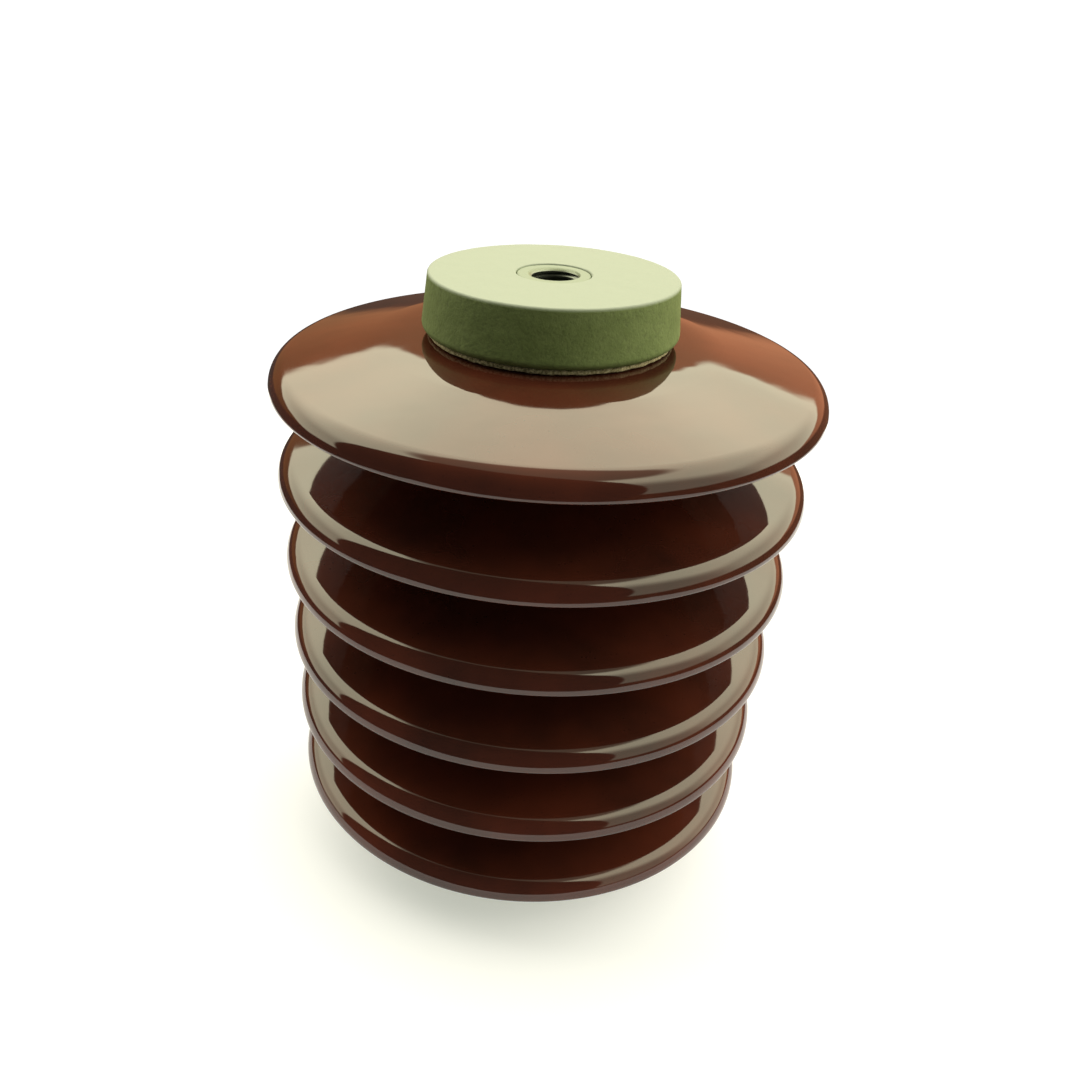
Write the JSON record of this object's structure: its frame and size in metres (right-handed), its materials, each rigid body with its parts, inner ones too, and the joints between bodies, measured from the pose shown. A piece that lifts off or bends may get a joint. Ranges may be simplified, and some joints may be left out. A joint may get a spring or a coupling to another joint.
{
  "type": "post insulator",
  "caption": "Brown glazed porcelain post insulator with stacked round sheds and a cemented metal cap with a threaded centre at each end.",
  "frame": {"origin": "centre of the base cap's outer face, on which the insulator stands", "axes": "+Z along the axis, from the base cap to the top cap"},
  "size_m": [0.18, 0.18, 0.215],
  "materials": {
    "glazed_porcelain": "dark red-brown glaze, very glossy",
    "cap_coating": "cast iron with a matt pale sage-green coating, faint sand-cast grain",
    "cement": "grey Portland cement, matt",
    "cork": "pressed cork, matt",
    "bush_steel": "turned steel, satin, with a tapped thread"
  },
  "bodies": {
    "root": {"porcelain_body": "glazed_porcelain", "top_cap": "cap_coating", "base_cap": "cap_coating", "top_cement": "cement", "base_cement": "cement", "top_cushion": "cork", "base_cushion": "cork", "top_thread_bush": "bush_steel", "base_thread_bush": "bush_steel"}
  },
  "joints": []
}
